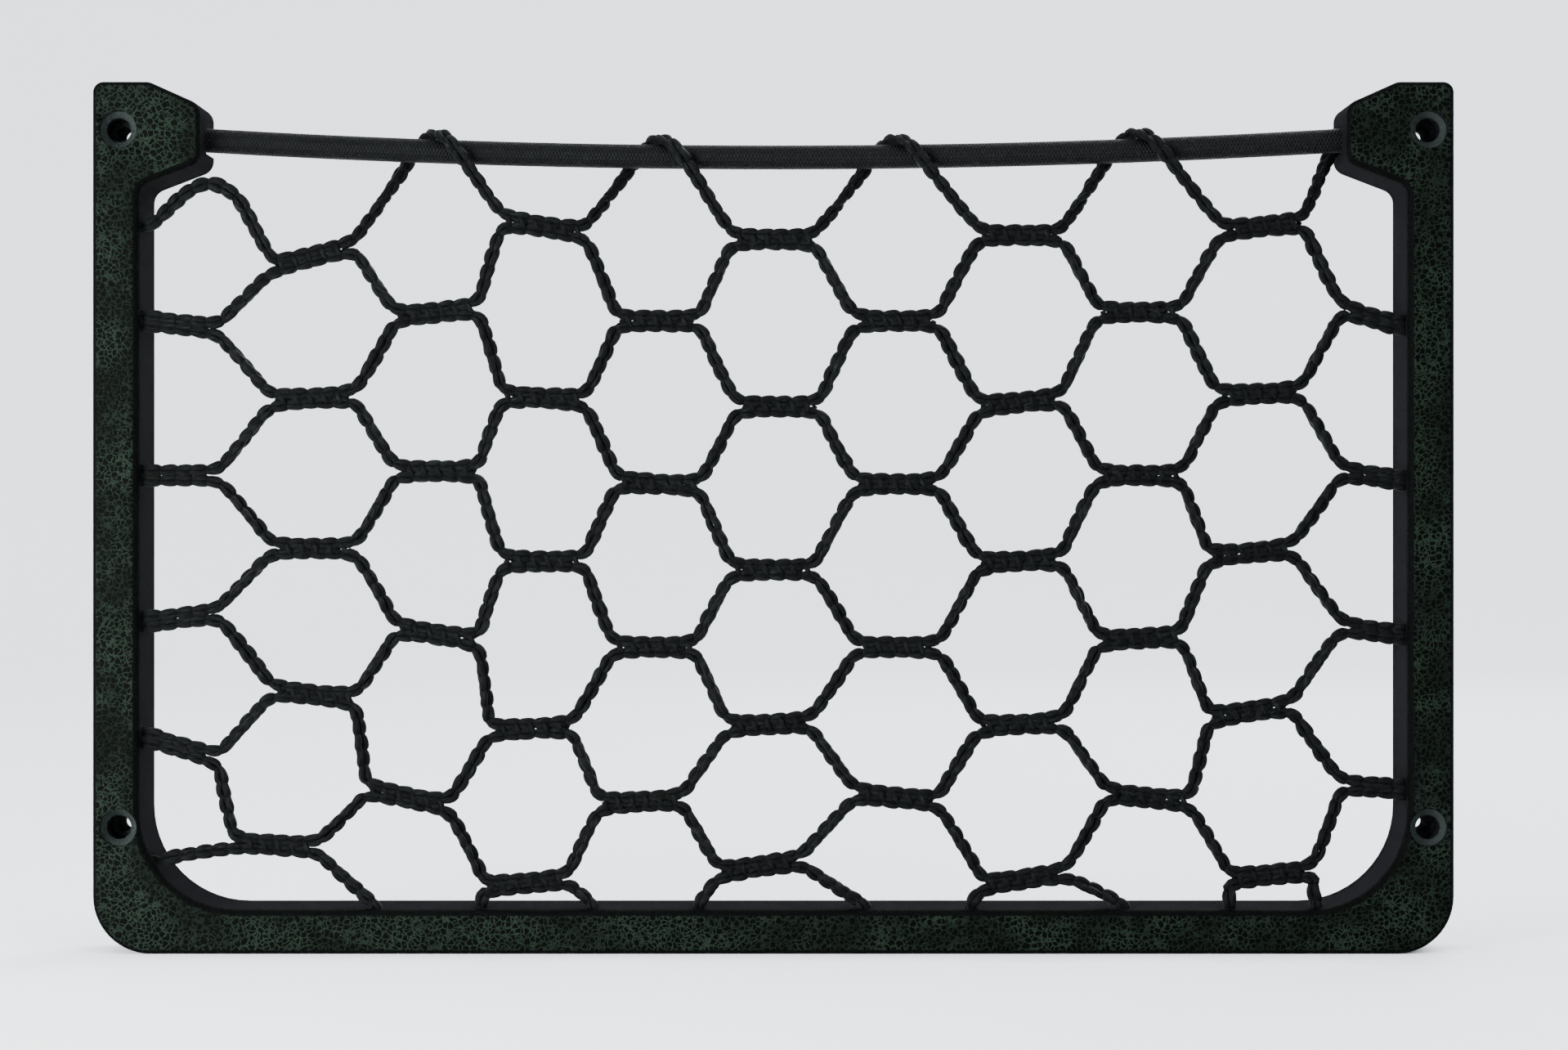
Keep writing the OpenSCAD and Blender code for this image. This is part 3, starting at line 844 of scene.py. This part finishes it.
def top_route():
    """The highest cord: in at the left, round the elastic cord four times and into the right nose."""
    rows = [row((-open_x, top_left_up, net_out), 0.8), row((-open_x + lead, top_left_up, net_out), 0.5)]
    for across, up in ARCH:
        rows.append(row((across - open_x, top_left_up + up, net_out), 0.0))
    for j in range(1, LAST_COLUMN):
        if j % 2:
            rows += bar_rows(0, j)
            continue
        x = column_x(j)
        for a in range(WRAP_FROM, WRAP_TO - 1, WRAP_STEP):
            c = math.cos(math.radians(a))
            s = math.sin(math.radians(a))
            point = (x + WRAP_LEAD * (90 - a) / 120, bungee_up(x) + WRAP_R * s, bungee_out + WRAP_R * c)
            rows.append(row(point, 0.3, (0, s, c)))
    tail = (bungee_high - TAIL_DROP, bungee_out - WRAP_R)
    rows.append(row((nose_x - 1.7, *tail), 0.3, BACK))
    rows.append(row((nose_x + 1.0, *tail), 0.6, BACK))
    return rows


def middle_route(w):
    """A cord from window to window, by way of a bar in every column."""
    b = (w + 1) // 2
    left_up = wall_up(-1, b) + cord_side(w, 0)
    right_up = wall_up(1, b) + cord_side(w, LAST_COLUMN)
    rows = [row((-open_x, left_up, net_out)), row((-open_x + lead, left_up, net_out)),
            row(bar_end(w, 0, 1))]
    last = bar_end(w, 0, 1)
    for j in range(1, LAST_COLUMN):
        rows += loosened(last, bar_end(w, j, -1)) + bar_rows(w, j)
        last = bar_end(w, j, 1)
    end = bar_end(w, LAST_COLUMN, -1)
    rows += loosened(last, end)
    rows += [row(end), row((open_x - lead, right_up, net_out)), row((open_x, right_up, net_out))]
    return rows


def rail_rows(x):
    """A cord's end in the bottom rail, from just inside its window to just above."""
    return [row((x, rail_h - 0.6, net_out), 0.8), row((x, rail_h + 0.8, net_out), 0.6)]


def bottom_routes():
    """The five spans of the lowest cord, each from window to window by way of one bar."""
    routes = []
    for k in range(5):
        if k == 0:
            start = [row((corner_clear - 0.3 - open_x, corner_up, net_out), 0.5)]
        else:
            start = rail_rows(rail_x(k - 1) + rail_half)
        end = rail_rows(last_rail_x if k == 4 else rail_x(k) - rail_half)[::-1]
        j = 2 * k + 1
        routes.append(start + loosened(start[-1][:3], bar_end(LAST_CORD, j, -1)) + bar_rows(LAST_CORD, j)
                      + loosened(bar_end(LAST_CORD, j, 1), end[0][:3]) + end)
    return routes


def cord_yarns(w):
    """Every yarn of net cord w: its chains and the lacing of the bars below it."""
    if w == 0:
        yarns = [chain(top_route())]
    elif w < LAST_CORD:
        yarns = [chain(middle_route(w))]
    else:
        yarns = [chain(route) for route in bottom_routes()]
    if w < LAST_CORD:
        first = 2 if w % 2 else 1
        yarns += [lacing(j, (w + 1) // 2) for j in range(first, LAST_COLUMN, 2)]
    return yarns


def halved(yarns):
    """The strips left of the middle (-1) and right of it (1)."""
    halves = {-1: [], 1: []}
    for path, radius, base_x in yarns:
        cut = int(np.searchsorted(base_x, 0.0))
        for side, part in ((-1, slice(0, cut + 1)), (1, slice(cut, None))):
            if len(path[part]) > 2:
                halves[side].append(yarn_strip(path[part], radius[part]))
    return halves


for w in range(CORDS):
    for side, strips in halved(cord_yarns(w)).items():
        number = f"{w + 1:02d}"
        half = "left" if side < 0 else "right"
        piece = mesh_of_rings(f"net_cord_{number}_{half}", strips, net_yarn)
        bows(piece, side, f"net_cord_{number}")

# ---------------------------------------------------------------- net edge loops inside the frame
SLIM = 0.62                # their chain is this much slimmer than the net's
SLIM_SIDES = 6
SLIM_REACH = 1.2
LOOP_R = 2.0               # radius of a loop round its peg
LOOP_OUT = 0.6             # how far a loop's ends stand out of their window
LOOP_NECK = 1.2            # and how far inside the two come together
left_pegs = [top_left_up] + [wall_up(-1, b) for b in range(1, 5)]
right_pegs = [wall_up(1, b) for b in range(1, 5)]


def slim_chain(points):
    """A slim cord through points, which lie in the plane of the net where they have no third part."""
    rows = [row((*p, net_out) if len(p) == 2 else p) for p in points]
    path, radius = chain(rows, SLIM, SLIM_REACH)[:2]
    return yarn_strip(path, radius, SLIM_SIDES)


def ring_round(x, up, start=0.0):
    """A full turn round a peg."""
    angles = [start + math.radians(a) for a in range(0, 361, 30)]
    return [(x + LOOP_R * math.cos(a), up + LOOP_R * math.sin(a)) for a in angles]


def pair_loop(side, up):
    """The two cords of a bar go through their window and meet round the peg."""
    half = pair_gap / 2
    end = side * (open_x - LOOP_OUT)
    neck = side * (open_x + LOOP_NECK)
    turn = []
    for degrees in range(110, -111, -22):
        a = math.radians(degrees)
        turn.append((side * (channel_x + LOOP_R * math.cos(a)), up + LOOP_R * math.sin(a)))
    return slim_chain([(end, up + half), (neck, up + half)] + turn + [(neck, up - half), (end, up - half)])


def loops_piece(name, strips):
    """One piece of edge loops, which stays on the frame."""
    piece = mesh_of_rings(name + "_knit", strips, net_yarn)
    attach(piece, "frame_body")
    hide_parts(name)


corner_peg = (-channel_x + 2, corner_up - 2)
loops_piece("net_loops_left", [pair_loop(-1, up) for up in left_pegs[1:]] + [
    slim_chain([(-open_x + LOOP_OUT, top_left_up)] + ring_round(-channel_x, top_left_up)),
    slim_chain([(corner_clear - open_x, corner_up), (corner_peg[0] + 3.5, corner_up)]
               + ring_round(*corner_peg, math.pi / 2)),
])

# The highest cord's tail ends in a small knot behind the elastic cord, inside the right nose.
KNOT_IN = 6.0              # from the nose's tip
KNOT_R = 1.1
KNOT_BACK = 1.6
KNOT_WAVE = 0.8
KNOT_POINTS = 25
bungee_slot = bungee_d + 0.7
tail_up = bungee_high - (bungee_slot - cord_d) / 2 + 0.6
tail_out = bungee_out - WRAP_R
tail = [(nose_x - 0.3, bungee_high - TAIL_DROP, tail_out), (nose_x + KNOT_IN / 2, tail_up, tail_out - 0.6)]
for a in np.linspace(0, 4 * math.pi, KNOT_POINTS):
    tail.append((nose_x + KNOT_IN + KNOT_R * math.cos(a), tail_up + KNOT_R * math.sin(a),
                 tail_out - KNOT_BACK + KNOT_WAVE * math.sin(2 * a)))
loops_piece("net_loops_right", [pair_loop(1, up) for up in right_pegs] + [slim_chain(tail)])

staple_up = rail_h + 0.3   # the ends of the hem's pieces stand a little out of the rail
staples = []
for k in range(4):
    left = rail_x(k) - rail_half
    right = rail_x(k) + rail_half
    staples.append(slim_chain([(left, staple_up), (left, hem_up), (right, hem_up), (right, staple_up)]))
loops_piece("net_loops_bottom", staples + [
    slim_chain([(last_rail_x, staple_up)] + ring_round(last_rail_x, channel_up, math.pi / 2)),
])

# ---------------------------------------------------------------- stage, light and camera, in metres
FLAT_R = 1.5
WALL_R = 2.5
WALL_H = 3.0
MIDDLE_R = 0.001
BOWL_STEPS = 24
BOWL_SIDES = 96
PAPER_GRAIN = 900.0        # noise waves per metre
PAPER_DULL = (0.86, 0.87, 0.88, 1)
PAPER_CLEAN = (0.90, 0.91, 0.92, 1)


def bowl():
    """A plain pale floor that curves up into a round wall."""
    turn = WALL_R - FLAT_R
    profile = [(MIDDLE_R, 0.0), (FLAT_R / 2, 0.0)]
    profile += [(FLAT_R + turn * math.sin(a), turn * (1 - math.cos(a)))
                for a in np.linspace(0, math.pi / 2, BOWL_STEPS)]
    profile += [(WALL_R, WALL_H)]
    points = [(r * math.cos(a), r * math.sin(a), frame_low.z + z)
              for r, z in profile for a in np.linspace(0, 2 * math.pi, BOWL_SIDES, endpoint=False)]
    faces = [(n * BOWL_SIDES + k, n * BOWL_SIDES + (k + 1) % BOWL_SIDES,
              (n + 1) * BOWL_SIDES + (k + 1) % BOWL_SIDES, (n + 1) * BOWL_SIDES + k)
             for n in range(len(profile) - 1) for k in range(BOWL_SIDES)]
    faces.append(tuple(range(BOWL_SIDES)))
    mesh = bpy.data.meshes.new("backdrop")
    mesh.from_pydata(points, [], faces)
    mesh.shade_smooth()
    made = bpy.data.objects.new("backdrop", mesh)
    bpy.context.scene.collection.objects.link(made)
    material, tree, shader = new_material("pale_paper")
    grain = noise_of(tree, object_place(tree), PAPER_GRAIN, 3.0)
    tree.links.new(mixed(tree, grain, PAPER_DULL, PAPER_CLEAN), shader.inputs["Base Color"])
    shader.inputs["Roughness"].default_value = 0.95
    shader.inputs["Specular IOR Level"].default_value = 0.1
    mesh.materials.append(material)
    return made


bowl()

world = bpy.data.worlds.new("studio")
world.use_nodes = True
sky = world.node_tree.nodes["Background"]
sky.inputs["Color"].default_value = (0.93, 0.96, 1.0, 1)
sky.inputs["Strength"].default_value = 3.2
bpy.context.scene.world = world


def soft_light(name, place, aim, size, watts, spread=180):
    """A round lamp that looks at a point. spread is in degrees."""
    light = bpy.data.lights.new(name, "AREA")
    light.shape = "DISK"
    light.size = size
    light.energy = watts
    light.spread = math.radians(spread)
    made = bpy.data.objects.new(name, light)
    made.location = place
    made.rotation_euler = (Vector(aim) - Vector(place)).to_track_quat("-Z", "Y").to_euler()
    bpy.context.scene.collection.objects.link(made)


soft_light("key", place=(-0.50, -0.57, -0.06), aim=(-0.13, 0, -0.12), size=0.4, watts=17, spread=130)
soft_light("fill", place=(0.6, -0.9, 0.7), aim=(0, 0, 0), size=0.9, watts=8)
soft_light("rim", place=(0.5, 0.9, 0.9), aim=(0, 0, 0), size=0.8, watts=12)

# The camera looks straight at the front, from where the photograph was taken.
camera = bpy.data.objects.new("camera", bpy.data.cameras.new("camera"))
camera.location = (0.0025, -0.738, -0.0109)
camera.rotation_euler = (math.pi / 2, 0, 0)
camera.data.lens = 70.4
camera.data.sensor_width = 36.0
camera.data.clip_start = 0.01
bpy.context.scene.collection.objects.link(camera)
bpy.context.scene.camera = camera
